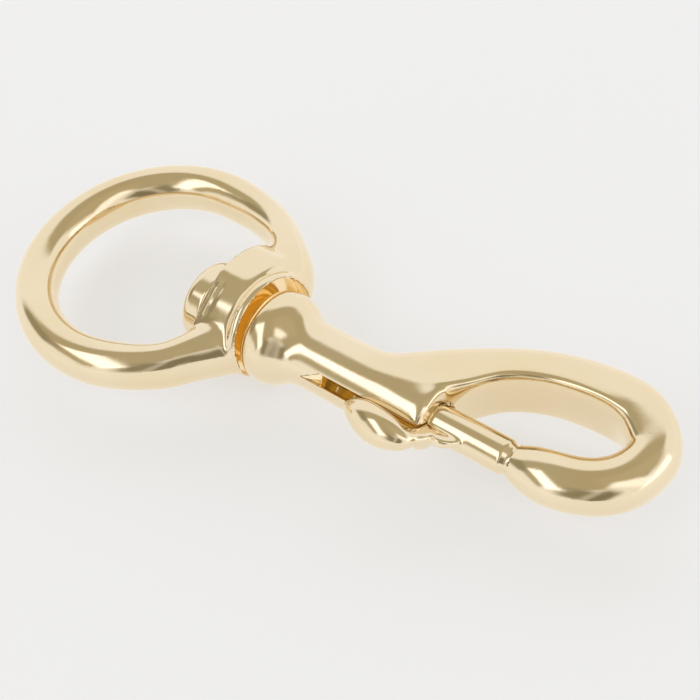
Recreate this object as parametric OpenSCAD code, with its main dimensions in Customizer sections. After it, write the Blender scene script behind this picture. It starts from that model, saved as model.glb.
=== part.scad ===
// Swivel round-eye bolt snap, closed. Millimetres.
// +X runs along the barrel from the eye to the hook, the hook bends out to +Y, +Z is up.
// The origin is the centre of the eye opening, on the swivel axis.

/* [Eye] */
// Clear diameter of the round eye
eye_opening_d = 25.5; // [22:0.5:30]
// Bar of the eye, measured in the plane of the ring
eye_bar_w = 5.5; // [4.6:0.1:6.4]
// Bar of the eye, measured across the ring
eye_bar_t = 6.3; // [5.2:0.1:7]
// Outward growth of the +Y arm where it runs into the hub
arm_flare_far = 3.1; // [2.4:0.1:3.4]
// Outward growth of the -Y arm where it runs into the hub
arm_flare_near = 2.2; // [1.8:0.1:2.6]
// How far the inside of the arms is relieved outward beside the hub, share of the usual
arm_relief = 1.0; // [0.8:0.05:1.1]
// Growth of the bar's half thickness where it runs into the hub
arm_rise = 1.9; // [1:0.1:2.2]
// Height of the hub, across the ring
hub_d = 12.6; // [12.2:0.1:13.2]
// Width of the hub, in the plane of the ring
hub_w = 17.0; // [16:0.2:17.6]
// Offset of the hub toward +Y
hub_shift = 1.5; // [1.2:0.1:1.8]
// Distance of the hub's sloping pad from the swivel axis
pad_h = 5.3; // [5.1:0.1:5.8]
// Slope of the pad toward -Y
pad_tilt = 30.6; // [26:0.2:34]
// Distance of the hub's -Y side from the swivel axis
pad_near = 5.7; // [5.4:0.1:6]
// Hub length along the swivel axis, inside flat to rim of the cup
hub_len = 8.4; // [7.8:0.1:9]
// How far the inside flat of the hub stands into the eye opening
hub_inset = 0.25; // [0.1:0.05:0.6]
// Outside diameter of the cup rim
cup_rim_d = 14.0; // [13.8:0.1:14.6]
// Inside diameter of the cup
cup_d = 13.0; // [12.8:0.1:13.2]
// Depth of the cup
cup_depth = 1.9; // [1.4:0.1:2.2]

/* [Swivel] */
// Diameter of the swivel shank
shank_d = 5.2; // [4.4:0.1:6]
// Running clearance of the shank in the hub bore, on radius
shank_clear = 0.06; // [0.03:0.01:0.1]
// End play of the swivel at the head and at the collar, each
end_clear = 0.06; // [0.03:0.01:0.1]
// Diameter of the peened head
head_d = 10.6; // [9.4:0.1:10.8]
// Height of the peened head
head_h = 4.1; // [3.6:0.1:4.8]
// Largest diameter of the collar
collar_d = 11.8; // [11.4:0.1:12.2]
// Length of the bulged part of the collar
collar_len = 5.2; // [4.6:0.1:5.6]
// Length of the hollow fillet from the collar to the barrel
neck_len = 2.6; // [2.2:0.1:3.2]

/* [Barrel] */
// Barrel diameter
barrel_d = 8.2; // [7.8:0.1:8.8]
// Barrel length from the end of the neck fillet to the mouth
barrel_len = 17.4; // [16.6:0.2:19.2]
// Running clearance of the bolt in the bore, on radius
bore_clear = 0.08; // [0.04:0.01:0.1]
// Solid metal left between the neck fillet and the bottom of the bore
bore_floor = 0.6; // [0.4:0.1:1]
// Width of the thumb slot
slot_w = 1.5; // [1.4:0.1:1.8]
// Length of the full-depth slot, back from the mouth
slot_len = 14.0; // [13:0.2:14.2]
// Length of the run-out behind the full-depth slot
slot_runout = 2.6; // [1:0.1:3]
// Angle of the slot above the plane of the hook
slot_angle = 26; // [0:1:40]

/* [Hook] */
// Gap between the mouth of the barrel and the nose, bridged by the bolt
gate_gap = 10.4; // [9:0.1:11]
// Nose diameter at its tip
nose_d = 4.2; // [4.1:0.1:4.6]
// Bar diameter behind the nose
hook_bar_d = 6.0; // [5.4:0.1:6.2]
// Reach of the hook opening beyond the nose tip
hook_reach = 8.7; // [8:0.1:10]
// Width of the hook opening, from the bolt axis to the inner wall
hook_opening = 9.8; // [9.4:0.1:10.6]
// Width of the hook band at the far side
band_w = 6.4; // [6:0.1:6.8]
// Thickness of the hook band at its inner wall
band_t = 7.4; // [6.6:0.1:7.8]
// Roll of the rims along the inner wall
rim_roll = 1.1; // [0.8:0.1:1.4]

/* [Bolt] */
// Bolt diameter
bolt_d = 4.2; // [3.9:0.05:4.5]
// Bolt diameter at the tip
bolt_tip_d = 3.4; // [3.2:0.05:3.5]
// Length of bolt inside the barrel when closed
bolt_tail = 5.6; // [5.2:0.1:6]
// Depth of the seat in the nose
seat_depth = 0.7; // [0.4:0.1:1]
// Gap between the bolt tip and the bottom of the seat
seat_clear = 0.05; // [0.02:0.01:0.1]
// Thickness of the knob's web where it runs in the slot
web_t = 1.3; // [1.1:0.05:1.3]
// Length of the thumb knob
knob_len = 9.5; // [9:0.1:9.8]
// Width of the thumb knob
knob_w = 4.4; // [4:0.1:5]
// Thickness of the thumb knob
knob_t = 3.6; // [3.2:0.1:3.8]

/* [Spring] */
// Outside diameter of the spring
spring_od = 4.0; // [3.7:0.05:4.1]
// Wire diameter of the spring
spring_wire = 0.45; // [0.4:0.05:0.55]
// Turns of the spring
spring_turns = 6; // [5:1:7]

/* [Hidden] */
$fn = 96;

brass = [0.87, 0.79, 0.58];
steel = [0.66, 0.66, 0.68];

ring_r = eye_opening_d / 2 + eye_bar_w / 2;
hub_x0 = eye_opening_d / 2 - hub_inset;
hub_x1 = hub_x0 + hub_len;
cup_x = hub_x1 - cup_depth;
collar_x0 = cup_x + end_clear;
collar_x1 = collar_x0 + collar_len;
neck_x1 = collar_x1 + neck_len;
mouth_x = neck_x1 + barrel_len;
bore_x0 = neck_x1 + bore_floor;
bore_d = bolt_d + 2 * bore_clear;
nose_x = mouth_x + gate_gap;
bolt_x0 = mouth_x - bolt_tail;
bolt_x1 = nose_x + seat_depth - seat_clear;
end_in_x = nose_x + hook_reach;

// ---- helpers -------------------------------------------------------------
// Catmull-Rom value between p1 and p2
function cr(p0, p1, p2, p3, t) =
    0.5 * (2 * p1 + (p2 - p0) * t + (2 * p0 - 5 * p1 + 4 * p2 - p3) * t * t
    + (3 * p1 - p0 - 3 * p2 + p3) * t * t * t);
// Smooth list through the control rows, n steps a span
function smooth(c, n) = [
    for (i = [0 : len(c) - 2], k = [0 : n - 1])
        cr(c[max(i - 1, 0)], c[i], c[i + 1], c[min(i + 2, len(c) - 1)], k / n),
    c[len(c) - 1]
];
function spow(v, e) = sign(v) * pow(abs(v), e);
function unit(v) = v / norm(v);

// Closed skin through a list of rings of points, all with the same count
module skin(rings) {
    n = len(rings[0]);
    m = len(rings);
    pts = [for (r = rings, p = r) p];
    faces = concat(
        [[for (j = [n - 1 : -1 : 0]) j]],
        [for (i = [0 : m - 2], j = [0 : n - 1])
            [i * n + j, i * n + (j + 1) % n, (i + 1) * n + j]],
        [for (i = [0 : m - 2], j = [0 : n - 1])
            [i * n + (j + 1) % n, (i + 1) * n + (j + 1) % n, (i + 1) * n + j]],
        [[for (j = [0 : n - 1]) (m - 1) * n + j]]);
    polyhedron(points = pts, faces = faces, convexity = 6);
}

// Solid turned about the X axis from [x, radius] points
module turned(p) {
    rotate([0, 90, 0]) rotate_extrude() polygon([for (q = p) [q[1], q[0]]]);
}

// Section of the hook: inner half toward the opening, outer half away from it
function hook_ring(s, i, n) =
    let (t = unit([s[min(i + 1, len(s) - 1)][0] - s[max(i - 1, 0)][0],
                   s[min(i + 1, len(s) - 1)][1] - s[max(i - 1, 0)][1]]),
         r = s[i], inward = [-t[1], t[0]],
         ai = r[2] * r[3], ao = r[2] - ai,
         c = [r[0], r[1]] + inward * (r[2] / 2 - ai))
    [for (k = [0 : n - 1])
        let (a = 360 * k / n, e = cos(a) >= 0 ? r[5] : r[6],
             o = cos(a) >= 0 ? ai * spow(cos(a), 2 / e) : ao * spow(cos(a), 2 / e),
             p = c + inward * o)
            [p[0], p[1], r[4] * spow(sin(a), 2 / e)]];

// Rows: x, y, width, inner share of the width, half thickness, inner and outer squareness
hx = end_in_x;
hy = hook_opening;
mx = mouth_x;
bt = band_t / 2;
sh = rim_roll / band_w;
hook_rows = [
    [nose_x, 0, nose_d - 0.3, 0.5, nose_d / 2 - 0.15, 2, 2],
    [nose_x + 0.3, 0, nose_d + 0.15, 0.5, nose_d / 2 + 0.07, 2, 2],
    [nose_x + 0.9, 0, nose_d + 0.6, 0.5, nose_d / 2 + 0.3, 2, 2],
    [nose_x + 2.0, 0.05, hook_bar_d - 0.5, 0.5, hook_bar_d / 2 - 0.25, 2, 2],
    [nose_x + 4.0, 0.2, hook_bar_d + 0.1, 0.5, hook_bar_d / 2 + 0.05, 2, 2],
    [nose_x + 6.3, 0.75, hook_bar_d + 0.2, 0.5, hook_bar_d / 2 + 0.1, 2, 2],
    [hx + 0.15, 2.0, hook_bar_d + 0.2, 0.5, hook_bar_d / 2 + 0.2, 2, 2],
    [hx + 2.2, 4.2, hook_bar_d, 0.48, hook_bar_d / 2 + 0.3, 2.1, 2],
    [hx + 3.15, 7.0, hook_bar_d - 0.3, 0.42, hook_bar_d / 2 + 0.4, 2.3, 2],
    [hx + 2.5, 9.5, band_w - 0.3, 0.34, bt - 0.3, 2.6, 2.1],
    [hx - 0.3, 12.1, band_w + 0.1, 0.24, bt - 0.15, 3.2, 2.2],
    [hx - 3.9, hy + 3.1, band_w, sh, bt, 4, 2.2],
    [hx - 8.4, hy + 2.65, band_w - 0.25, sh, bt, 4, 2.2],
    [hx - 12.7, hy + 1.35, band_w - 0.5, sh, bt, 4, 2.2],
    [mx + 2.2, hy - 1.0, band_w - 0.1, sh, bt, 4, 2.2],
    [mx - 1.9, hy - 4.45, band_w + 1.3, sh, bt + 0.05, 4, 2.2],
    [mx - 6.8, 1.9, band_w + 0.4, 0.35, bt + 0.1, 3, 2.2],
    [mx - 11.0, 0.7, band_w + 0.1, 0.45, bt + 0.1, 2.2, 2]
];

module hook_band() {
    s = smooth(hook_rows, 4);
    skin([for (i = [len(s) - 1 : -1 : 0]) hook_ring(s, i, 32)]);
}

// Cast body: swivel stem with its peened head, collar, barrel and hook
module hook_body() color(brass) {
    ra = barrel_d / 2;
    rc = collar_d / 2;
    rh = head_d / 2;
    x0 = hub_x0 - end_clear;
    w = collar_len;
    difference() {
        union() {
            turned(concat(
                [[x0 - head_h, 0]],
                [for (a = [10 : 10 : 90])
                    [x0 - head_h * (0.42 + 0.58 * cos(a)), rh * pow(sin(a), 0.8)]],
                [[x0 - head_h * 0.2, rh * 0.985], [x0, rh * 0.93], [x0, 0]]));
            turned([[x0 - 1, 0], [x0 - 1, shank_d / 2], [collar_x0 + 1, shank_d / 2],
                [collar_x0 + 1, 0]]);
            turned(concat(
                [[collar_x0, 0], [collar_x0, rc - 2.1]],
                [for (a = [-80 : 10 : 50])
                    [collar_x0 + w * 0.53 + w * 0.5 * sin(a), rc - 1.9 + 1.9 * cos(a)]],
                [for (k = [1 : 8]) let (t = k / 8, c = rc - 0.679, q = collar_x0 + w * 0.913)
                    [q + (neck_x1 - q) * t, ra + (c - ra) * pow(1 - t, 2)]],
                [[mouth_x - 1.2, ra], [mouth_x - 0.5, ra - 0.15], [mouth_x - 0.1, ra - 0.5],
                 [mouth_x, ra - 0.9], [mouth_x, 0]]));
            hook_band();
        }
        // bore, open at the mouth
        translate([bore_x0, 0, 0]) rotate([0, 90, 0])
            cylinder(d = bore_d, h = mouth_x - bore_x0 + 1.5);
        // the opening between mouth and nose stays clear of metal
        translate([mouth_x, 0, 0]) rotate([0, 90, 0])
            cylinder(d = bore_d + 0.6, h = gate_gap - 0.4);
        // thumb slot, full depth, and its run-out
        rotate([-slot_angle, 0, 0]) {
            translate([mouth_x - slot_len, -ra - 3, -slot_w / 2])
                cube([slot_len + 2, ra + 3, slot_w]);
            translate([0, 0.9 - ra, 0]) rotate([90, 0, 0]) linear_extrude(height = 3)
                polygon([[mouth_x - slot_len - slot_runout, -slot_w / 2],
                    [mouth_x - slot_len + 0.01, -slot_w / 2],
                    [mouth_x - slot_len + 0.01, slot_w / 2]]);
        }
        // seat for the bolt tip
        translate([nose_x - 1, 0, 0]) rotate([0, 90, 0])
            cylinder(d = bolt_tip_d + 0.16, h = 1 + seat_depth);
    }
}

// Rows of an arm from the ring to the hub: angle, inner and outer radius, half thickness.
// g, q and h are the shares of flare, relief and rise, ten degrees apart from 80 to 10
eye_ri = ring_r - eye_bar_w / 2;
eye_ro = ring_r + eye_bar_w / 2;
function arm_rows(flare, g, q, h) = smooth([
    for (k = [0 : 7])
        [80 - 10 * k, eye_ri + arm_relief * q[k], eye_ro + flare * g[k],
         eye_bar_t / 2 + arm_rise * h[k]]
], 3);
far_rows = arm_rows(arm_flare_far, [0, 0.06, 0.22, 0.38, 0.58, 0.86, 0.98, 1],
    [0.2, 0.7, 1.3, 2.0, 2.4, 1.6, 0.6, 0.1], [0, 0, 0.02, 0.12, 0.3, 0.55, 0.8, 1]);
near_rows = arm_rows(arm_flare_near, [0, 0, 0, 0.04, 0.12, 0.25, 0.75, 1.1],
    [0, 0, 0.2, 0.6, 0.9, 0.6, 0.2, 0], [0, 0, 0, 0, 0.02, 0.08, 0.2, 0.28]);
eye_rows = concat(
    [for (i = [len(far_rows) - 1 : -1 : 0]) far_rows[i]],
    [for (a = [86.9 : 6.87 : 273]) [a, eye_ri, eye_ro, eye_bar_t / 2]],
    [for (r = near_rows) [360 - r[0], r[1], r[2], r[3]]]);
function eye_ring(r, n) = [for (k = [0 : n - 1]) let (b = 360 * k / n,
    o = (r[1] + r[2]) / 2 + (r[2] - r[1]) / 2 * cos(b))
    [o * cos(r[0]), o * sin(r[0]), r[3] * sin(b)]];

// Slice of the hub at x: an oval with a sloping pad toward -Y on both faces
module hub_slice(x, inset) {
    translate([x, 0, 0]) rotate([90, 0, 90]) linear_extrude(height = 0.01) offset(delta = -inset)
    intersection() {
        translate([hub_shift, 0]) scale([hub_w / hub_d, 1]) circle(d = hub_d + 0.4, $fn = 72);
        translate([-pad_near, -hub_d]) square([hub_w + hub_d, 2 * hub_d]);
        intersection_for (side = [0, 1]) mirror([0, side]) rotate(pad_tilt)
            translate([-2 * hub_w, pad_h - 3 * hub_d]) square([4 * hub_w, 3 * hub_d]);
    }
}

// Cast eye: ring, hub and cup
module swivel_eye() color(brass) {
    rr = cup_rim_d / 2;
    x1 = hub_x0 + hub_len * 0.46;
    step = (hub_x1 - 1.6 - x1) / 4;
    difference() {
        union() {
            skin([for (r = eye_rows) eye_ring(r, 32)]);
            hull() {
                hub_slice(hub_x0, 0.25);
                hub_slice(hub_x0 + 0.25, 0);
                hub_slice(hub_x0 + hub_len * 0.42, 0);
                hub_slice(hub_x0 + hub_len * 0.53, 0.6);
                hub_slice(hub_x0 + hub_len * 0.59, 1.6);
            }
            turned(concat([[x1 - 1.3, 0], [x1 - 1.3, hub_d / 2 - 1.4]],
                [for (k = [0 : 4]) let (t = k / 4)
                    [x1 + step * k, hub_d / 2 - 0.6 + (rr - hub_d / 2 + 0.6) * t * t * (3 - 2 * t)]],
                [[hub_x1 - 0.8, rr - 0.04], [hub_x1 - 0.3, rr - 0.2], [hub_x1, rr - 0.45],
                 [hub_x1, 0]]));
        }
        // swivel bore
        translate([hub_x0 - 3, 0, 0]) rotate([0, 90, 0])
            cylinder(d = shank_d + 2 * shank_clear, h = hub_len + 5);
        // cup round the collar
        translate([cup_x, 0, 0]) rotate([0, 90, 0]) cylinder(d = cup_d, h = hub_len);
        // inside of the hub is flat, for the head
        translate([hub_x0 - 4, 0, 0]) rotate([0, 90, 0]) cylinder(d = head_d + 0.8, h = 4);
    }
}

// Section of the knob and its web, in the plane of the slot
function knob_ring(s, i, n) =
    let (t = unit([s[min(i + 1, len(s) - 1)][0] - s[max(i - 1, 0)][0],
                   s[min(i + 1, len(s) - 1)][1] - s[max(i - 1, 0)][1]]),
         r = s[i], side = [-t[1], t[0]])
    [for (k = [0 : n - 1]) let (a = 360 * k / n,
        o = side * r[2] * spow(cos(a), 2 / r[4]), z = r[3] * spow(sin(a), 2 / r[4]))
        [r[0] + o[0], -(r[1] + o[1]), z]];

module bolt() color(brass) {
    kx = mouth_x + 0.6 - knob_len;
    kc = barrel_d / 2 + 0.2 + knob_t / 2;
    kl = knob_len;
    wt = web_t / 2;
    ht = knob_t / 2;
    hw = knob_w / 2;
    knob_rows = [
        [mouth_x + 1.9, 0.6, 2.7, wt, 4],
        [mouth_x + 1.6, 1.9, 2.5, wt, 4],
        [mouth_x + 0.7, 3.0, 1.6, wt, 4],
        [mouth_x + 0.3, 4.1, 1.25, wt, 3.4],
        [mouth_x - 0.2, 5.2, 1.15, wt + 0.25, 2.4],
        [kx + kl * 0.87, kc + 0.1, ht * 0.66, hw * 0.62, 2],
        [kx + kl * 0.70, kc + 0.35, ht * 0.92, hw * 0.90, 2],
        [kx + kl * 0.48, kc + 0.25, ht, hw, 2],
        [kx + kl * 0.26, kc - 0.25, ht * 0.85, hw * 0.88, 2],
        [kx + kl * 0.09, kc - 0.7, ht * 0.55, hw * 0.55, 2],
        [kx, kc - 1.0, ht * 0.1, hw * 0.1, 2]
    ];
    union() {
        turned([[bolt_x0, 0], [bolt_x0, bolt_d / 2 - 0.2], [bolt_x0 + 0.2, bolt_d / 2],
            [bolt_x1 - 2.1, bolt_d / 2], [bolt_x1 - 1.1, bolt_tip_d / 2],
            [bolt_x1 - 0.3, bolt_tip_d / 2], [bolt_x1, bolt_tip_d / 2 - 0.3], [bolt_x1, 0]]);
        rotate([-slot_angle, 0, 0]) {
            s = smooth(knob_rows, 3);
            skin([for (i = [0 : len(s) - 1]) knob_ring(s, i, 24)]);
        }
    }
}

// Coil spring between the bottom of the bore and the bolt
module spring() color(steel) {
    r = spring_od / 2 - spring_wire / 2;
    l = bolt_x0 - bore_x0 - spring_wire - 0.04;
    n = 20;
    steps = spring_turns * n;
    skin([for (i = [0 : steps]) let (a = 360 * i / n, x = bore_x0 + 0.02 + spring_wire / 2
            + l * (i / steps))
        [for (k = [0 : 7]) let (b = 360 * k / 8, q = r + spring_wire / 2 * cos(b))
            [x + spring_wire / 2 * sin(b), q * cos(a), q * sin(a)]]]);
}

hook_body();
swivel_eye();
bolt();
spring();
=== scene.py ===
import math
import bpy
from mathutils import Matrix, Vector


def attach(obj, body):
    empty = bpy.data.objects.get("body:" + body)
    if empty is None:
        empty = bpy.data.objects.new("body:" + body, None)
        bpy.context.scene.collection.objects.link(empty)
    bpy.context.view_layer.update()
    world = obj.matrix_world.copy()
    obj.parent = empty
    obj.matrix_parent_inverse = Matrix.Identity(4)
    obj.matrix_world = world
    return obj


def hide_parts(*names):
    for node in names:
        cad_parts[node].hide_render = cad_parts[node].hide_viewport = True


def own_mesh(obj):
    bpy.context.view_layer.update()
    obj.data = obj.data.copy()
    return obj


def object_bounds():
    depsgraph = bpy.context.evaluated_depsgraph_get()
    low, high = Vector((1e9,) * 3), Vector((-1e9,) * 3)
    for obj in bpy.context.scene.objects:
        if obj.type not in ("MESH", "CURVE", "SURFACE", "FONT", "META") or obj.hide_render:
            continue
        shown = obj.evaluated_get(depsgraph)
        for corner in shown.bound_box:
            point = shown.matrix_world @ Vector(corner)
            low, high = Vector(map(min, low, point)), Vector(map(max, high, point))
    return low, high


bl_info = {
    "name": "Swivel Bolt Snap",
    "version": (1, 0, 0),
    "blender": (4, 5, 0),
    "location": "3D View > Sidebar > Bolt Snap",
    "description": "Builds a swivel round-eye bolt snap round its packed frame",
    "category": "Add Mesh",
}

import bpy
import numpy as np
from bpy.props import FloatProperty, FloatVectorProperty, PointerProperty
from bpy.types import Operator, Panel, PropertyGroup
from mathutils import Matrix, Vector

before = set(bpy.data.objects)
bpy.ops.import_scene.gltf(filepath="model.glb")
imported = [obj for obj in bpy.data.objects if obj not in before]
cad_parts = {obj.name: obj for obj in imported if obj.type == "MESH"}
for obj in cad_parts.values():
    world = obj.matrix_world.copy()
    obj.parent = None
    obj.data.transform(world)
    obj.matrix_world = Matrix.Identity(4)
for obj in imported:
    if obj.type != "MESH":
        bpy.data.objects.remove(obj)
CAD_BOX = [list(corner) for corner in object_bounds()]

MM = 0.001

# camera: place in mm, directions of the picture's right and up, lens and sensor in mm
CAMERA_PLACE = (95.91, -59.80, 109.46)
CAMERA_RIGHT = (0.7861, 0.6043, -0.1296)
CAMERA_UP = (-0.4072, 0.6642, 0.6269)
LENS, SENSOR = 61.917, 36.0

# room, warm boards that dim it and soft boxes that light it
ROOM, BOARD, LAMP = (1.0, 1.0, 1.0), (1.0, 0.9, 0.64), (1.0, 1.0, 1.05)
# bearing of the middle, half sizes, turn and softness, in degrees; then the tint and its level
STUDIO = (
    ((0, -10), (60, 40), 40, 5, BOARD, 0.5),
    ((-55, -25), (12, 18), 30, 6, BOARD, 0.35),
    ((30, 10), (15, 30), -45, 8, BOARD, 0.55),
    ((50, -60), (15, 25), 0, 8, BOARD, 0.25),
    ((20, -65), (12, 20), 0, 8, BOARD, 0.3),
    ((65, -5), (40, 10), 25, 5, LAMP, 1.3),
    ((-15, -45), (30, 10), -55, 4, LAMP, 1.7),
    ((85, 15), (40, 10), -60, 5, LAMP, 1.6),
)

# half size of the square table in metres, and the air under the object
TABLE_SIZE, TABLE_GAP = 1.6, 0.00005
# pale glow of the table's paper where it is seen directly, and where it is mirrored
PAPER_GLOW, PAPER_SEEN, PAPER_MIRRORED = (0.97, 0.98, 1.0), 0.45, 0.58

# glow that stands in for light passed on from wall to wall, and the recesses that have it:
# lengthwise from and to, middle in Y and in Z, radius, in mm
DEEP_GLOW, DEEP_LEVEL = (0.62, 0.31, 0.03), 0.22
EYE_RECESSES = ((17.8, 19.4, 0.55, 0.18, 6.65),)
BODY_RECESSES = ((18.3, 19.3, 0, 0, 5.6), (29, 44, 0, 0, 3.7))

# lowest and highest corner of the space that each casting is meshed in, mm
EYE_SPACE = (-19.5, -20, -9), (22.5, 22, 9)
BODY_SPACE = (7, -7.5, -7), (71, 18, 7)
BOLT_SPACE = (33, -9.5, -3.5), (56.5, 3, 3.5)

SHANK_PLAY = 0.12
SPRING_END_GAP = 0.03


# ---- sizes and colours -----------------------------------------------------
def millimetres(name, description, default):
    return FloatProperty(name=name, description=description, default=default, min=0.01)


class EyeSizes(PropertyGroup):
    opening: millimetres("Opening", "Clear diameter of the round eye, mm", 25.5)
    bar_width: millimetres("Bar width", "Bar of the eye in the plane of the ring, mm", 5.5)
    bar_thickness: millimetres("Bar thickness", "Bar of the eye across the ring, mm", 6.3)
    far_flare: millimetres("Far flare", "Outward growth of the +Y arm at the hub, mm", 3.1)
    near_flare: millimetres("Near flare", "Outward growth of the -Y arm at the hub, mm", 2.2)
    rise: millimetres("Arm rise", "Growth of the arms' half thickness at the hub, mm", 1.9)
    hub_diameter: millimetres("Hub height", "Height of the hub across the ring, mm", 12.6)
    hub_width: millimetres("Hub width", "Width of the hub in the plane of the ring, mm", 17.0)
    hub_shift: millimetres("Hub shift", "Offset of the hub toward +Y, mm", 1.5)
    pad_height: millimetres("Pad height", "Sloping pad of the hub from the swivel axis, mm", 5.3)
    pad_tilt: FloatProperty(name="Pad tilt", description="Slope of the pad toward -Y",
                            default=math.radians(30.6), subtype="ANGLE", unit="ROTATION")
    hub_start: millimetres("Hub start", "Inner flat of the hub, mm from the eye's centre", 12.5)
    hub_length: millimetres("Hub length", "Inner flat to rim of the cup, mm", 6.9)
    rim_diameter: millimetres("Rim diameter", "Outside diameter of the cup, mm", 13.6)
    cup_diameter: millimetres("Cup diameter", "Inside diameter of the cup, mm", 12.8)
    cup_depth: millimetres("Cup depth", "Depth of the cup, mm", 1.2)
    cup_shift: millimetres("Cup shift", "How far the cup lies off the swivel axis, mm", 0.55)


class BodySizes(PropertyGroup):
    shank: millimetres("Shank diameter", "Diameter of the swivel shank, mm", 5.2)
    head_diameter: millimetres("Head diameter", "Diameter of the peened head, mm", 10.6)
    head_height: millimetres("Head height", "Height of the peened head, mm", 4.1)
    collar_start: millimetres("Collar start", "Back face of the collar, mm", 18.4)
    collar_diameter: millimetres("Collar diameter", "Largest diameter of the collar, mm", 11.8)
    barrel: millimetres("Barrel diameter", "Diameter of the barrel, mm", 8.2)
    mouth: millimetres("Mouth", "Mouth of the barrel, mm from the eye's centre", 44.26)
    bore: millimetres("Bore diameter", "Bore that the bolt slides in, mm", 4.36)
    bore_start: millimetres("Bore start", "Bottom of the bore, mm", 27.46)
    slot_width: millimetres("Slot width", "Width of the thumb slot, mm", 1.5)
    slot_start: millimetres("Slot start", "Back end of the full-depth slot, mm", 30.26)
    slot_angle: FloatProperty(name="Slot angle", description="Slot above the plane of the hook",
                              default=math.radians(26), subtype="ANGLE", unit="ROTATION")
    nose: millimetres("Nose", "Tip of the nose, mm from the eye's centre", 54.66)
    nose_diameter: millimetres("Nose diameter", "Diameter of the nose at its tip, mm", 4.2)
    bar_diameter: millimetres("Bar diameter", "Hook bar behind the nose, mm", 6.0)
    reach: millimetres("Reach", "Reach of the hook opening beyond the nose, mm", 8.7)
    opening: millimetres("Opening", "From the bolt's axis to the inner wall, mm", 9.8)
    band_width: millimetres("Band width", "Width of the hook band at the far side, mm", 6.4)
    band_thickness: millimetres("Band thickness", "Thickness of the band at its inner wall, mm", 7.4)


class BoltSizes(PropertyGroup):
    diameter: millimetres("Diameter", "Diameter of the bolt, mm", 4.2)
    tip_diameter: millimetres("Tip diameter", "Diameter of the bolt at its tip, mm", 3.4)
    tail: millimetres("Tail", "Length of bolt inside the barrel when closed, mm", 5.6)
    seat: millimetres("Seat", "Depth that the tip stands in the nose, mm", 0.65)
    travel: millimetres("Travel", "How far the bolt slides back, mm", 8.2)
    web: millimetres("Web", "Thickness of the knob's web, mm", 1.3)
    knob_length: millimetres("Knob length", "Length of the thumb knob, mm", 9.5)
    knob_width: millimetres("Knob width", "Width of the thumb knob, mm", 4.4)
    knob_thickness: millimetres("Knob thickness", "Thickness of the thumb knob, mm", 3.6)
    spring_diameter: millimetres("Spring diameter", "Outside diameter of the spring, mm", 4.0)
    spring_wire: millimetres("Spring wire", "Diameter of the spring's wire, mm", 0.45)
    spring_turns: FloatProperty(name="Turns", description="Turns of the spring", default=6)


def colour(name, description, default):
    return FloatVectorProperty(name=name, description=description, default=default,
                               size=3, subtype="COLOR", min=0, max=1)


class Finish(PropertyGroup):
    gold: colour("Gold", "Pale gold of the plate", (0.86, 0.735, 0.525))
    steel: colour("Steel", "Drawn spring wire", (0.56, 0.56, 0.58))
    table: colour("Table", "Pale table and backdrop", (0.56, 0.57, 0.60))
    mesh_step: millimetres("Mesh step", "Spacing of the castings' mesh, mm", 0.22)


# ---- solids as distance functions, in millimetres ----------------------------
def join(a, b, blend):
    """The two solids as one casting, with a fillet of about that size between them."""
    h = np.clip(blend - np.abs(a - b), 0, None) / blend
    return np.minimum(a, b) - h**3 * blend / 6


def overlap(a, b, blend):
    return -join(-a, -b, blend)


def cut(a, tool, blend):
    return -join(-a, tool, blend)


def step_up(u):
    """Smooth step from 0 to 1."""
    u = np.clip(u, 0, 1)
    return u**2 * (3 - 2 * u)


def superellipse(u, v, a, b, power):
    """Distance to a rounded section of half sizes a and b; power 2 is an ellipse, 4 is squarish."""
    p, q = np.abs(u) / a, np.abs(v) / b
    k = np.maximum((p**power + q**power) ** (1 / power), 1e-4)
    slope = k ** (1 - power) * np.hypot(p ** (power - 1) / a, q ** (power - 1) / b)
    return np.where(k < 0.05, -np.minimum(a, b), (k - 1) / np.maximum(slope, 1e-4))


class Line:
    """Smooth line in a plane through rows: two columns of position and others that follow along."""

    def __init__(self, rows):
        self.rows = np.array(rows, float)
        n = len(rows)
        matrix = np.eye(n)
        right = np.zeros_like(self.rows)
        for i in range(1, n - 1):
            matrix[i, i - 1 : i + 2] = 1, 4, 1
            right[i] = 6 * (self.rows[i + 1] - 2 * self.rows[i] + self.rows[i - 1])
        self.bend = np.linalg.solve(matrix, right)

    def at(self, t, order=0):
        i = np.clip(np.floor(t).astype(int), 0, len(self.rows) - 2)
        u = (t - i)[..., None]
        a, b, p, q = self.rows[i], self.rows[i + 1], self.bend[i], self.bend[i + 1]
        if order == 0:
            w = 1 - u
            return w * a + u * b + ((w**3 - w) * p + (u**3 - u) * q) / 6
        if order == 1:
            return b - a + ((1 - 3 * (1 - u) ** 2) * p + (3 * u**2 - 1) * q) / 6
        return (1 - u) * p + u * q

    def nearest(self, x, y):
        """Place along the line of the point nearest to each x, y."""
        end = len(self.rows) - 1
        marks = np.linspace(0, end, end * 12 + 1)
        spots = self.at(marks)[:, :2]
        flat = np.stack([x.ravel(), y.ravel()], 1)
        t = np.empty(len(flat))
        for i in range(0, len(flat), 20000):
            part = flat[i : i + 20000]
            t[i : i + 20000] = marks[np.argmin((spots**2).sum(1) - 2 * part @ spots.T, 1)]
        for _ in range(4):
            gap = self.at(t)[:, :2] - flat
            d, dd = self.at(t, 1)[:, :2], self.at(t, 2)[:, :2]
            change = (gap * d).sum(1) / np.maximum((d * d).sum(1) + (gap * dd).sum(1), 1e-3)
            t = np.clip(t - np.clip(change, -0.1, 0.1), 0, end)
        return t.reshape(x.shape)


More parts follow.
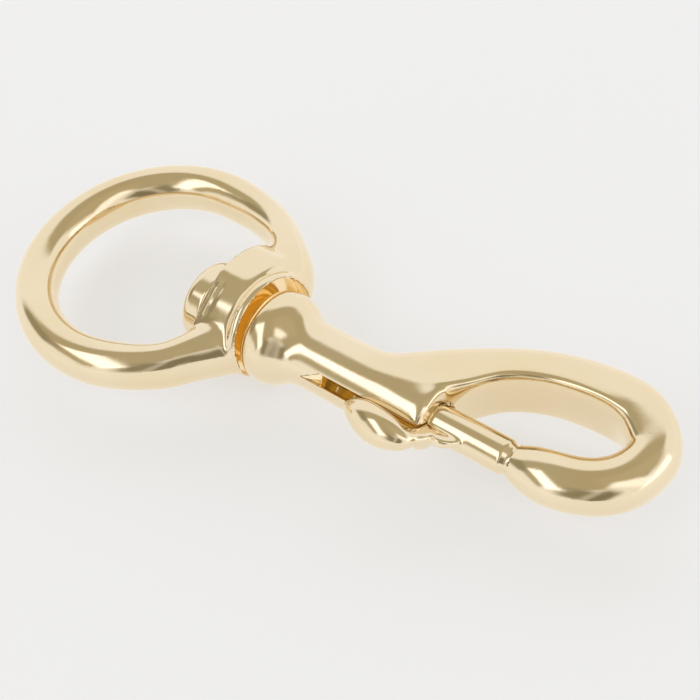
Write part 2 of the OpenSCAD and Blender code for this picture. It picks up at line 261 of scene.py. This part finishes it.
def bar(line, x, y, z, blend=0.5):
    """Bar along a line in the XY plane. Columns of the line: x, y, width, share of the width on
    the inner side, half thickness, inner and outer squareness."""
    x, y = np.broadcast_arrays(x, y)
    t = line.nearest(x, y)
    here = line.at(t)
    along = line.at(t, 1)
    length = np.hypot(along[..., 0], along[..., 1])
    tx, ty = along[..., 0] / length, along[..., 1] / length
    dx, dy = x - here[..., 0], y - here[..., 1]
    width, share, half = here[..., 2], here[..., 3], here[..., 4]
    inner = width * share
    side = dy * tx - dx * ty - (width / 2 - inner)
    a = np.where(side >= 0, inner, width - inner)
    power = np.where(side >= 0, here[..., 5], here[..., 6])
    body = superellipse(side, z, a, half, power)
    past = dx * tx + dy * ty
    end = np.where(t <= 0, -past, np.where(t >= len(line.rows) - 1, past, -9.0))
    return overlap(body, end, blend)


def net(solid, low, high, step):
    """Closed quad mesh of the solid inside the box, with its points moved onto the surface."""
    axes = [np.arange(a, b + step, step) for a, b in zip(low, high)]
    values = solid(axes[0][:, None, None], axes[1][None, :, None], axes[2][None, None, :])
    values = np.asarray(values, np.float32)
    inside = values < 0
    cells = np.array(values.shape) - 1
    stride = np.array([cells[1] * cells[2], cells[2], 1])
    spots, owners, quads = [], [], []
    for axis in range(3):
        side = [slice(None)] * 3
        other = [slice(None)] * 3
        side[axis], other[axis] = slice(0, -1), slice(1, None)
        found = np.argwhere(inside[tuple(side)] != inside[tuple(other)])
        u, v = (axis + 1) % 3, (axis + 2) % 3
        ok = (found[:, u] > 0) & (found[:, v] > 0)
        ok &= (found[:, u] < cells[u]) & (found[:, v] < cells[v])
        found = found[ok]
        ahead = found.copy()
        ahead[:, axis] += 1
        a, b = values[tuple(found.T)], values[tuple(ahead.T)]
        spot = found.astype(float)
        spot[:, axis] += a / (a - b)
        ring = []
        for du, dv in ((-1, -1), (0, -1), (0, 0), (-1, 0)):
            cell = found.copy()
            cell[:, u] += du
            cell[:, v] += dv
            ring.append(cell @ stride)
            spots.append(spot)
            owners.append(ring[-1])
        ring = np.stack(ring, 1)
        quads.append(np.where((a < 0)[:, None], ring, ring[:, ::-1]))
    owners, spots, quads = np.concatenate(owners), np.concatenate(spots), np.concatenate(quads)
    used, place = np.unique(owners, return_inverse=True)
    count = np.bincount(place)
    points = np.stack([np.bincount(place, spots[:, i]) / count for i in range(3)], 1)
    points = points * step + np.array([a[0] for a in axes])
    faces = np.searchsorted(used, quads).tolist()
    for _ in range(3):
        distance, slope = measure(solid, points)
        move = distance[:, None] * slope / np.maximum((slope**2).sum(1), 0.05)[:, None]
        reach = np.linalg.norm(move, axis=1)[:, None]
        points = points - move * np.minimum(1, 0.4 * step / np.maximum(reach, 1e-9))
    slope = measure(solid, points)[1]
    return points, faces, slope / np.maximum(np.linalg.norm(slope, axis=1), 1e-6)[:, None]


def measure(solid, points, small=0.02):
    """Distance and its slope at each point."""
    x, y, z = points.T
    slope = [
        (solid(x + small * i, y + small * j, z + small * k)
         - solid(x - small * i, y - small * j, z - small * k)) / (2 * small)
        for i, j, k in ((1, 0, 0), (0, 1, 0), (0, 0, 1))
    ]
    return solid(x, y, z), np.stack(slope, 1)


def swivel_eye(s, hole):
    """Ring with two flared arms, hub and cup, with a hole of that diameter for the shank."""
    inner, outer, half = s.opening / 2, s.opening / 2 + s.bar_width, s.bar_thickness / 2
    # tens of degrees from the hub; flare, relief and rise of the far arm, then of the near arm
    arms = Line([
        [0, 0, 1.00, 0.0, 1.00, 1.10, 0.0, 0.30],
        [1, 0, 1.00, 0.1, 1.00, 1.10, 0.0, 0.28],
        [2, 0, 0.98, 0.6, 0.80, 0.75, 0.2, 0.20],
        [3, 0, 0.86, 1.6, 0.55, 0.25, 0.6, 0.08],
        [4, 0, 0.58, 2.4, 0.30, 0.12, 0.9, 0.02],
        [5, 0, 0.38, 2.0, 0.12, 0.04, 0.6, 0.0],
        [6, 0, 0.22, 1.3, 0.02, 0.00, 0.2, 0.0],
        [7, 0, 0.06, 0.7, 0.00, 0.00, 0.0, 0.0],
        [8, 0, 0.00, 0.2, 0.00, 0.00, 0.0, 0.0],
        [9, 0, 0.00, 0.0, 0.00, 0.00, 0.0, 0.0],
    ])
    hub_end = s.hub_start + s.hub_length
    near_side, block_length, core_r, face_r = 5.7, 5.3, 5.6, 5.8
    flare_length, flare_rise = 2.6, 1.9
    pad_sine, pad_cosine = math.sin(s.pad_tilt), math.cos(s.pad_tilt)

    def solid(x, y, z):
        around = np.arctan2(y, x)
        share = arms.at(np.clip(np.degrees(np.abs(around)) / 10, 0, 9))
        far = (around >= 0)[..., None]
        share = np.where(far, share[..., 2:5], share[..., 5:8])
        flare = np.where(around >= 0, s.far_flare, s.near_flare) * share[..., 0]
        low, high = inner + share[..., 1], outer + flare
        thick = half + s.rise * share[..., 2]
        ring = superellipse(np.hypot(x, y) - (low + high) / 2, z, (high - low) / 2, thick, 2.1)
        # hub: an oval block with a sloping pad toward -Y, squared off at its near side
        hub = superellipse(y - s.hub_shift, z, s.hub_width / 2, s.hub_diameter / 2 + 0.2, 2.1)
        pad = pad_cosine * np.abs(z) - pad_sine * y - s.pad_height
        hub = overlap(hub, pad, 0.7)
        hub = overlap(hub, -near_side - y, 0.5)
        hub = overlap(hub, s.hub_start - x, 0.35)
        hub = overlap(hub, x - s.hub_start - block_length, 2.0)
        r = np.hypot(y, z)
        core = np.maximum(r - core_r, s.hub_start + 1 - x)
        hub = join(hub, core, 0.8)
        # flange: flares from the hub to the rim of the cup
        off_axis = np.hypot(y - s.cup_shift, z - s.cup_shift / 3)
        flared = step_up((x - hub_end + flare_length) / flare_rise)
        flange_r = near_side + (s.rim_diameter / 2 - near_side) * flared
        flange = overlap(off_axis - flange_r, x - hub_end, 1.4)
        flange = overlap(flange, s.hub_start + 2 - x, 0.5)
        d = join(ring, flange, 1.5)
        d = join(d, hub, 0.7)
        bore = np.maximum(r - hole / 2, s.hub_start - 1 - x)
        d = cut(d, bore, 0.15)
        cup = overlap(off_axis - s.cup_diameter / 2, hub_end - s.cup_depth - x, 0.3)
        d = cut(d, cup, 0.25)
        # the hub's inner side is faced off flat, for the head
        face = overlap(r - face_r, x - s.hub_start, 0.2)
        face = overlap(face, s.hub_start - 5 - x, 0.2)
        return cut(d, face, 0.2)

    return solid


def hook_line(s):
    """The hook's bar from the nose round the bend to the barrel; columns as in bar()."""
    hx, hy, mx, nx = s.nose + s.reach, s.opening, s.mouth, s.nose
    nd, bd, bw, bt = s.nose_diameter, s.bar_diameter, s.band_width, s.band_thickness / 2
    roll = 1.1 / bw
    return Line([
        [nx - 0.2, 0, nd - 0.2, 0.5, nd / 2 - 0.1, 2, 2],
        [nx + 0.7, 0, nd + 0.5, 0.5, nd / 2 + 0.25, 2, 2],
        [nx + 2.0, 0.05, bd - 0.5, 0.5, bd / 2 - 0.25, 2, 2],
        [nx + 4.0, 0.2, bd + 0.1, 0.5, bd / 2 + 0.05, 2, 2],
        [nx + 6.3, 0.75, bd + 0.2, 0.5, bd / 2 + 0.1, 2, 2],
        [hx + 0.15, 2.0, bd + 0.2, 0.5, bd / 2 + 0.2, 2, 2],
        [hx + 2.2, 4.2, bd + 0.0, 0.48, bd / 2 + 0.3, 2.1, 2],
        [hx + 3.15, 7.0, bd - 0.3, 0.42, bd / 2 + 0.4, 2.3, 2],
        [hx + 2.5, 9.5, bw - 0.3, 0.34, bt - 0.3, 2.6, 2.1],
        [hx - 0.3, 12.1, bw + 0.1, 0.24, bt - 0.15, 3.2, 2.2],
        [hx - 3.9, hy + 3.1, bw, roll, bt, 4, 2.2],
        [hx - 8.4, hy + 2.65, bw - 0.25, roll, bt, 4, 2.2],
        [hx - 12.7, hy + 1.35, bw - 0.5, roll, bt, 4, 2.2],
        [mx + 2.2, hy - 1.0, bw - 0.1, roll, bt, 4, 2.2],
        [mx - 1.9, hy - 4.45, bw + 1.3, roll, bt + 0.05, 4, 2.2],
        [mx - 6.8, 1.9, bw + 0.4, 0.35, bt + 0.1, 3, 2.2],
        [mx - 12.5, 0.3, bw - 2.6, 0.45, bt - 1.5, 2.2, 2],
    ])


def hook_body(s):
    """Swivel stem with its peened head, collar, slotted barrel and hook, cast in one."""
    line = hook_line(s)
    barrel_r, collar_r = s.barrel / 2, s.collar_diameter / 2
    # the collar bulges out of the barrel: its crest, how far it spreads and how square it is
    crest, spread, power = s.collar_start + 3.01, 3.0, 2.6
    head_x, head_rim = s.collar_start - 5.96, 1.85
    run_length, run_depth, run_slope = 2.6, 0.9, 0.25
    seat_r, seat_depth = 1.78, 0.7
    sine, cosine = math.sin(s.slot_angle), math.cos(s.slot_angle)

    def stem(x, r):
        u = (x - crest) / spread
        bulge = (collar_r - barrel_r) * np.exp(-np.abs(u) ** power)
        lean = -bulge * power * np.abs(u) ** (power - 1) * np.sign(u) / spread
        d = (r - barrel_r - bulge) / np.sqrt(1 + lean**2)
        d = overlap(d, s.collar_start - x, 2.6)
        d = overlap(d, x - s.mouth, 1.8)
        shank = np.maximum(r - s.shank / 2, np.maximum(head_x - 1 - x, x - s.collar_start - 1))
        d = np.minimum(d, shank)
        dome = superellipse(np.minimum(x - head_x + head_rim, 0), r, s.head_height - head_rim,
                            s.head_diameter / 2, 2.3)
        head = overlap(dome, x - head_x, 0.5)
        return np.minimum(d, head)

    def solid(x, y, z):
        r = np.hypot(y, z)
        d = join(stem(x, r), bar(line, x, y, z, 0.9), 1.6)
        # bore, and the clear way from the mouth to the nose
        bore = np.maximum(r - s.bore / 2, s.bore_start - x)
        d = cut(d, np.maximum(bore, x - s.nose + 1), 0.25)
        way = np.maximum(r - s.bore / 2 - 0.3, np.maximum(s.mouth - x, x - s.nose + 0.4))
        d = np.maximum(d, -way)
        # thumb slot: full depth, then a run-out that rises to the surface
        out, across = -y * cosine + z * sine, y * sine + z * cosine
        slot = np.maximum(np.abs(across) - s.slot_width / 2, -out)
        slot = np.maximum(slot, np.maximum(s.slot_start - x, x - s.mouth - 2))
        d = cut(d, slot, 0.3)
        floor = barrel_r - run_depth + (s.slot_start - x) * run_slope
        narrowed = s.slot_width * (x - s.slot_start + run_length) / run_length
        low_side = np.maximum(-across - s.slot_width / 2, across + s.slot_width / 2 - narrowed)
        run = np.maximum(np.maximum(low_side, floor - out), x - s.slot_start - 0.2)
        d = cut(d, run, 0.2)
        # seat for the bolt's tip
        seat = np.maximum(r - seat_r, x - s.nose - seat_depth)
        return cut(d, np.maximum(seat, s.nose - 1.5 - x), 0.2)

    return solid


def bolt_rod(s, body):
    """Bolt with its web and thumb knob, the knob standing toward -Y."""
    start, mouth = body.mouth - s.tail, body.mouth
    tip, tip_length = body.nose + s.seat, 2.1
    kx = mouth + 0.6 - s.knob_length
    kc = body.barrel / 2 + 0.2 + s.knob_thickness / 2
    kl, kt, kw, web = s.knob_length, s.knob_thickness, s.knob_width / 2, s.web / 2
    # x, depth, width along the barrel, share, half thickness, squareness twice
    line = Line([
        [mouth + 1.9, -0.6, 5.4, 0.5, web, 4, 4],
        [mouth + 1.6, -1.9, 5.0, 0.5, web, 4, 4],
        [mouth + 0.7, -3.0, 3.2, 0.5, web, 4, 4],
        [mouth + 0.3, -4.1, 2.5, 0.5, web, 3.4, 3.4],
        [mouth - 0.2, -5.2, 2.3, 0.5, web + 0.25, 2.4, 2.4],
        [kx + kl * 0.87, -kc - 0.1, kt * 0.66, 0.5, kw * 0.62, 2, 2],
        [kx + kl * 0.70, -kc - 0.35, kt * 0.92, 0.5, kw * 0.90, 2, 2],
        [kx + kl * 0.48, -kc - 0.25, kt, 0.5, kw, 2, 2],
        [kx + kl * 0.26, -kc + 0.25, kt * 0.85, 0.5, kw * 0.88, 2, 2],
        [kx + kl * 0.09, -kc + 0.7, kt * 0.55, 0.5, kw * 0.55, 2, 2],
        [kx + 0.2, -kc + 0.95, kt * 0.3, 0.5, kw * 0.3, 2, 2],
    ])

    def solid(x, y, z):
        r = np.hypot(y, z)
        taper = step_up(x - tip + tip_length)
        radius = s.diameter / 2 - (s.diameter - s.tip_diameter) / 2 * taper
        rod = overlap(r - radius, start - x, 0.5)
        rod = overlap(rod, x - tip, 0.7)
        return join(rod, bar(line, x, y, z, 0.6), 0.6)

    return solid


# ---- meshes and materials ----------------------------------------------------
def add_mesh(name, points, faces, normals, body, node, material):
    """Mesh object in the frame's place of a CAD node, riding on its body."""
    mesh = bpy.data.meshes.new(name)
    mesh.from_pydata(points * MM, [], faces)
    mesh.polygons.foreach_set("use_smooth", np.ones(len(faces), bool))
    mesh.materials.append(material)
    if normals is not None:
        mesh.normals_split_custom_set_from_vertices(normals)
    piece = bpy.data.objects.new(name, mesh)
    bpy.context.scene.collection.objects.link(piece)
    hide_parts(node)
    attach(piece, body)
    return piece


class Graph:
    """Short ways to add nodes to a material or world and to link them."""

    def __init__(self, owner):
        owner.use_nodes = True
        self.nodes, self.links = owner.node_tree.nodes, owner.node_tree.links

    def maths(self, operation, *values):
        node = self.nodes.new("ShaderNodeMath")
        node.operation = operation
        for slot, value in zip(node.inputs, values):
            if isinstance(value, (int, float)):
                slot.default_value = value
            else:
                self.links.new(value, slot)
        return node.outputs[0]

    def ramp(self, value, low, high, first=0, second=1, smooth=False):
        """The value's share of the way from low to high, as a value from first to second."""
        node = self.nodes.new("ShaderNodeMapRange")
        if smooth:
            node.interpolation_type = "SMOOTHSTEP"
        node.inputs["From Min"].default_value = low
        node.inputs["From Max"].default_value = high
        node.inputs["To Min"].default_value = first
        node.inputs["To Max"].default_value = second
        self.links.new(value, node.inputs["Value"])
        return node.outputs["Result"]

    def mix(self, first, second, share):
        """Colour between two; the first is a colour or another node's output."""
        node = self.nodes.new("ShaderNodeMix")
        node.data_type = "RGBA"
        if isinstance(first, tuple):
            node.inputs["A"].default_value = (*first, 1)
        else:
            self.links.new(first, node.inputs["A"])
        node.inputs["B"].default_value = (*second, 1)
        self.links.new(share, node.inputs["Factor"])
        return node.outputs["Result"]

    def noise(self, place, seed, scale, detail, rough=0.5):
        node = self.nodes.new("ShaderNodeTexNoise")
        node.noise_dimensions = "4D"
        node.inputs["W"].default_value = seed
        node.inputs["Scale"].default_value = scale
        node.inputs["Detail"].default_value = detail
        node.inputs["Roughness"].default_value = rough
        self.links.new(place, node.inputs["Vector"])
        return node.outputs["Fac"]

    def split(self, vector):
        node = self.nodes.new("ShaderNodeSeparateXYZ")
        self.links.new(vector, node.inputs[0])
        return node.outputs


def metal(name, base, seed, recesses=()):
    """Polished plated casting: uneven tint and gloss, soft waviness, fine grain and pits, and a
    painted orange glow in the recesses that stands in for light bounced between their walls.
    """
    material = bpy.data.materials.new(name)
    graph = Graph(material)
    shader = graph.nodes["Principled BSDF"]
    shader.inputs["Metallic"].default_value = 1.0
    shader.inputs["IOR"].default_value = 1.5
    place = graph.nodes.new("ShaderNodeTexCoord").outputs["Object"]

    worn = (base[0] * 0.97, base[1] * 0.94, base[2] * 0.86)
    share = graph.ramp(graph.noise(place, seed, 90, 3), 0.35, 0.7)
    graph.links.new(graph.mix(tuple(base), worn, share), shader.inputs["Base Color"])
    gloss = graph.ramp(graph.noise(place, seed, 700, 4, 0.6), 0.3, 0.75, 0.07, 0.17)
    graph.links.new(gloss, shader.inputs["Roughness"])

    pits = graph.nodes.new("ShaderNodeTexVoronoi")
    pits.inputs["Scale"].default_value = 650
    graph.links.new(place, pits.inputs["Vector"])
    pit = graph.ramp(pits.outputs["Distance"], 0.0, 0.16)
    normal = None
    for height, strength, distance in (
        (graph.noise(place, seed, 160, 2), 0.30, 0.00013),
        (graph.noise(place, seed, 1300, 3), 0.16, 0.00003),
        (pit, 0.16, 0.00003),
    ):
        bump = graph.nodes.new("ShaderNodeBump")
        bump.inputs["Strength"].default_value = strength
        bump.inputs["Distance"].default_value = distance
        graph.links.new(height, bump.inputs["Height"])
        if normal is not None:
            graph.links.new(normal, bump.inputs["Normal"])
        normal = bump.outputs["Normal"]
    graph.links.new(normal, shader.inputs["Normal"])
    # painted bounce light: an orange glow in the recesses stands in for light passed from wall to
    # wall
    if recesses:
        shader.inputs["Emission Color"].default_value = (*DEEP_GLOW, 1)
        level = graph.maths("MULTIPLY", deepness(graph, place, recesses), DEEP_LEVEL)
        graph.links.new(level, shader.inputs["Emission Strength"])
    return material


def deepness(graph, place, recesses):
    # mask of the painted bounce-light glow
    """1 inside the recesses, which lie along X, and 0 outside them."""
    maths = graph.maths
    soft_side, soft_end = 0.25, 0.5
    x, y, z = graph.split(place)
    deep = None
    for low, high, mid_y, mid_z, radius in recesses:
        off_y, off_z = maths("SUBTRACT", y, mid_y * MM), maths("SUBTRACT", z, mid_z * MM)
        r = maths("SQRT", maths("ADD", maths("MULTIPLY", off_y, off_y),
                                maths("MULTIPLY", off_z, off_z)))
        near_axis = graph.ramp(r, radius * MM, (radius - soft_side) * MM)
        before_end = graph.ramp(x, high * MM, (high - soft_end) * MM)
        past_start = maths("GREATER_THAN", x, low * MM)
        inside = maths("MULTIPLY", near_axis, maths("MULTIPLY", past_start, before_end))
        deep = inside if deep is None else maths("MAXIMUM", deep, inside)
    return deep


# ---- operators ---------------------------------------------------------------
class SNAP_OT_eye(Operator):
    """Build the swivelling eye with its hub and cup"""

    bl_idname = "snap.eye"
    bl_label = "Swivel Eye"

    def execute(self, context):
        s, finish = context.scene.snap_eye, context.scene.snap_finish
        step = finish.mesh_step * 1
        hole = context.scene.snap_body.shank + SHANK_PLAY
        mesh = net(swivel_eye(s, hole), *EYE_SPACE, step)
        gold = metal("gold_eye", finish.gold, 1.0, EYE_RECESSES)
        add_mesh("swivel_eye_casting", *mesh, "eye", "swivel_eye", gold)
        return {"FINISHED"}


class SNAP_OT_body(Operator):
    """Build the body: stem, head, collar, barrel and hook"""

    bl_idname = "snap.body"
    bl_label = "Hook Body"

    def execute(self, context):
        s, finish = context.scene.snap_body, context.scene.snap_finish
        step = finish.mesh_step * 1
        mesh = net(hook_body(s), *BODY_SPACE, step)
        gold = metal("gold_body", finish.gold, 2.0, BODY_RECESSES)
        add_mesh("hook_body_casting", *mesh, "body", "hook_body", gold)
        return {"FINISHED"}


class SNAP_OT_bolt(Operator):
    """Build the sliding bolt with its thumb knob, and the spring behind it"""

    bl_idname = "snap.bolt"
    bl_label = "Bolt and Spring"

    def execute(self, context):
        scene = context.scene
        s, body, finish = scene.snap_bolt, scene.snap_body, scene.snap_finish
        step = finish.mesh_step * 0.7
        points, faces, normals = net(bolt_rod(s, body), *BOLT_SPACE, step)
        sine, cosine = math.sin(body.slot_angle), math.cos(body.slot_angle)
        turn = np.array([[1, 0, 0], [0, cosine, sine], [0, -sine, cosine]])
        gold = metal("gold_bolt", finish.gold, 3.0)
        add_mesh("bolt_with_knob", points @ turn.T, faces, normals @ turn.T, "bolt", "bolt", gold)
        wire = self.helix(s, body)
        steel = metal("spring_steel", finish.steel, 4.0)
        spring = add_mesh("spring_coil", *wire, None, "body", "spring", steel)
        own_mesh(spring)
        return {"FINISHED"}

    def helix(self, s, body):
        """Wire wound from the bottom of the bore to the bolt, end turns closer together."""
        sides, around = 12, 36
        rings = int(s.spring_turns * around) + 1
        wire, radius = s.spring_wire / 2, (s.spring_diameter - s.spring_wire) / 2
        first = body.bore_start + SPRING_END_GAP + wire
        last = body.mouth - s.tail - SPRING_END_GAP - wire
        share = np.linspace(0, 1, rings)
        lift = share - 0.06 * np.sin(2 * np.pi * share)
        turn = 2 * np.pi * s.spring_turns * share
        centre = np.stack([first + (last - first) * lift,
                           radius * np.cos(turn), radius * np.sin(turn)], 1)
        along = np.gradient(centre, axis=0)
        along /= np.linalg.norm(along, axis=1)[:, None]
        out = np.stack([0 * turn, np.cos(turn), np.sin(turn)], 1)
        side = np.cross(along, out)
        angle = 2 * np.pi * np.arange(sides) / sides
        points = centre[:, None] + wire * (np.cos(angle)[None, :, None] * out[:, None]
                                           + np.sin(angle)[None, :, None] * side[:, None])
        points = np.vstack([points.reshape(-1, 3), centre[[0, -1]]])
        i, k = np.meshgrid(np.arange(rings - 1), np.arange(sides), indexing="ij")
        i, k, n = i.ravel(), k.ravel(), (k.ravel() + 1) % sides
        quads = np.stack([i * sides + k, i * sides + n, (i + 1) * sides + n,
                          (i + 1) * sides + k], 1)
        ends = [[rings * sides, (j + 1) % sides, j] for j in range(sides)]
        top = (rings - 1) * sides
        ends += [[rings * sides + 1, top + j, top + (j + 1) % sides] for j in range(sides)]
        return points, quads.tolist() + ends


class SNAP_OT_stage(Operator):
    """Set the pale table, the soft studio light and the camera"""

    bl_idname = "snap.stage"
    bl_label = "Stage"

    def execute(self, context):
        scene = context.scene
        scene.view_settings.view_transform = "Standard"
        self.camera(scene)
        self.table(scene)
        self.light(scene)
        return {"FINISHED"}

    def camera(self, scene):
        data = bpy.data.cameras.new("camera")
        data.lens, data.sensor_width = LENS, SENSOR
        data.clip_start, data.clip_end = 0.001, 20
        view = bpy.data.objects.new("camera", data)
        right, up = Vector(CAMERA_RIGHT).normalized(), Vector(CAMERA_UP)
        up = (up - right * up.dot(right)).normalized()
        turn = Matrix((right, up, right.cross(up))).transposed()
        view.matrix_world = Matrix.Translation(Vector(CAMERA_PLACE) * MM) @ turn.to_4x4()
        scene.collection.objects.link(view)
        scene.camera = view

    def table(self, scene):
        size = TABLE_SIZE
        mesh = bpy.data.meshes.new("table")
        mesh.from_pydata([(-size, -size, 0), (size, -size, 0), (size, size, 0), (-size, size, 0)],
                         [], [(0, 1, 2, 3)])
        table = bpy.data.objects.new("table", mesh)
        table.location.z = CAD_BOX[0][2] - TABLE_GAP
        material = bpy.data.materials.new("table_paper")
        graph = Graph(material)
        shader = graph.nodes["Principled BSDF"]
        shader.inputs["Base Color"].default_value = (*scene.snap_finish.table, 1)
        shader.inputs["Roughness"].default_value = 0.6
        shader.inputs["Specular IOR Level"].default_value = 0.2
        # seen directly or mirrored, the paper is paler than what it gives back
        rays = graph.nodes.new("ShaderNodeLightPath").outputs
        seen = graph.maths("MULTIPLY", rays["Is Camera Ray"], PAPER_SEEN)
        mirrored = graph.maths("MULTIPLY", rays["Is Glossy Ray"], PAPER_MIRRORED)
        shader.inputs["Emission Color"].default_value = (*PAPER_GLOW, 1)
        graph.links.new(graph.maths("ADD", seen, mirrored), shader.inputs["Emission Strength"])
        mesh.materials.append(material)
        scene.collection.objects.link(table)

    def light(self, scene):
        """White room with warm boards and soft boxes, laid out by their bearing from straight
        up: degrees toward +X, degrees toward +Y."""
        scene.world = bpy.data.worlds.new("studio")
        graph = Graph(scene.world)
        maths = graph.maths
        dx, dy, dz = graph.split(graph.nodes.new("ShaderNodeTexCoord").outputs["Generated"])
        flat = maths("SQRT", maths("ADD", maths("MULTIPLY", dx, dx), maths("MULTIPLY", dy, dy)))
        tilt = maths("DEGREES", maths("ARCTAN2", flat, dz))
        scale = maths("DIVIDE", tilt, maths("MAXIMUM", flat, 1e-4))
        east, north = maths("MULTIPLY", dx, scale), maths("MULTIPLY", dy, scale)

        def fade(distance, size, soft):
            return graph.ramp(maths("ABSOLUTE", distance), size + soft, size - soft, smooth=True)

        def patch(x, y, half_x, half_y, turn, soft):
            c, s = math.cos(math.radians(turn)), math.sin(math.radians(turn))
            a, b = maths("SUBTRACT", east, x), maths("SUBTRACT", north, y)
            u = maths("ADD", maths("MULTIPLY", a, c), maths("MULTIPLY", b, s))
            v = maths("SUBTRACT", maths("MULTIPLY", b, c), maths("MULTIPLY", a, s))
            return maths("MULTIPLY", fade(u, half_x, soft), fade(v, half_y, soft))

        colour = ROOM
        for middle, half, turn, soft, tint, level in STUDIO:
            light = tuple(level * channel for channel in tint)
            colour = graph.mix(colour, light, patch(*middle, *half, turn, soft))
        graph.links.new(colour, graph.nodes["Background"].inputs["Color"])


class SNAP_PT_panel(Panel):
    """Buttons for each piece of the bolt snap"""

    bl_idname = "SNAP_PT_panel"
    bl_label = "Bolt Snap"
    bl_space_type = "VIEW_3D"
    bl_region_type = "UI"
    bl_category = "Bolt Snap"

    def draw(self, context):
        for operator in OPERATORS:
            self.layout.operator(operator.bl_idname)
        for name in GROUPS:
            group = getattr(context.scene, name)
            box = self.layout.box()
            for field in group.__annotations__:
                box.prop(group, field)


GROUPS = {"snap_eye": EyeSizes, "snap_body": BodySizes, "snap_bolt": BoltSizes,
          "snap_finish": Finish}
OPERATORS = (SNAP_OT_body, SNAP_OT_eye, SNAP_OT_bolt, SNAP_OT_stage)


def register():
    for cls in (*GROUPS.values(), *OPERATORS, SNAP_PT_panel):
        bpy.utils.register_class(cls)
    for name, group in GROUPS.items():
        setattr(bpy.types.Scene, name, PointerProperty(type=group))


def unregister():
    for name in GROUPS:
        delattr(bpy.types.Scene, name)
    for cls in reversed((*GROUPS.values(), *OPERATORS, SNAP_PT_panel)):
        bpy.utils.unregister_class(cls)


def main():
    register()
    for operator in OPERATORS:
        group, name = operator.bl_idname.split(".")
        getattr(getattr(bpy.ops, group), name)()


if __name__ == "__main__":
    main()
